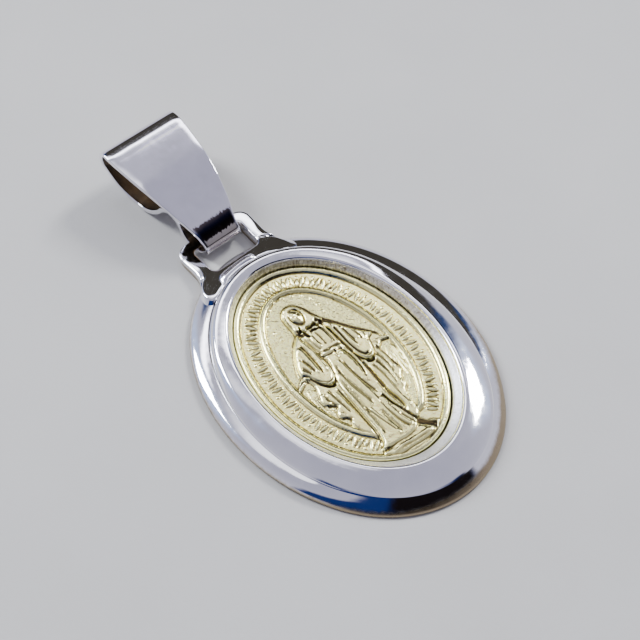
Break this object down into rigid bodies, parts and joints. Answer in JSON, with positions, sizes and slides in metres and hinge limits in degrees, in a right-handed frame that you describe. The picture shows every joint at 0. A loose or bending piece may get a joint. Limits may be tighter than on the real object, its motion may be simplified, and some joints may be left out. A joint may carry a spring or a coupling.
{
  "type": "religious medal pendant",
  "caption": "Oval polished white-metal frame with a yellow-gold relief medal of a veiled standing figure, and a tapered folded bail that swings on the yoke's bar.",
  "frame": {"origin": "middle of the base of the pendant's box as it lies face up", "axes": "+Y from the foot of the oval towards the bail, +X to the right seen from the front, +Z out of the medal's face"},
  "size_m": [0.018, 0.0344, 0.0042],
  "materials": {
    "polished_white_metal": "mirror polished, rhodium plated",
    "yellow_gold": "struck relief, bright with a stippled field",
    "satin_white_metal": "satin brushed lengthwise, polished edges"
  },
  "bodies": {
    "pendant": {"frame": "polished_white_metal", "medal": "yellow_gold"},
    "bail": {"bail": "satin_white_metal"}
  },
  "joints": [
    {"name": "bail_swing", "type": "hinge", "parent": "pendant", "child": "bail", "pos_m": [0, 0.00851, 0.0008], "axis": [1, 0, 0], "range_deg": [-155, 100]}
  ]
}
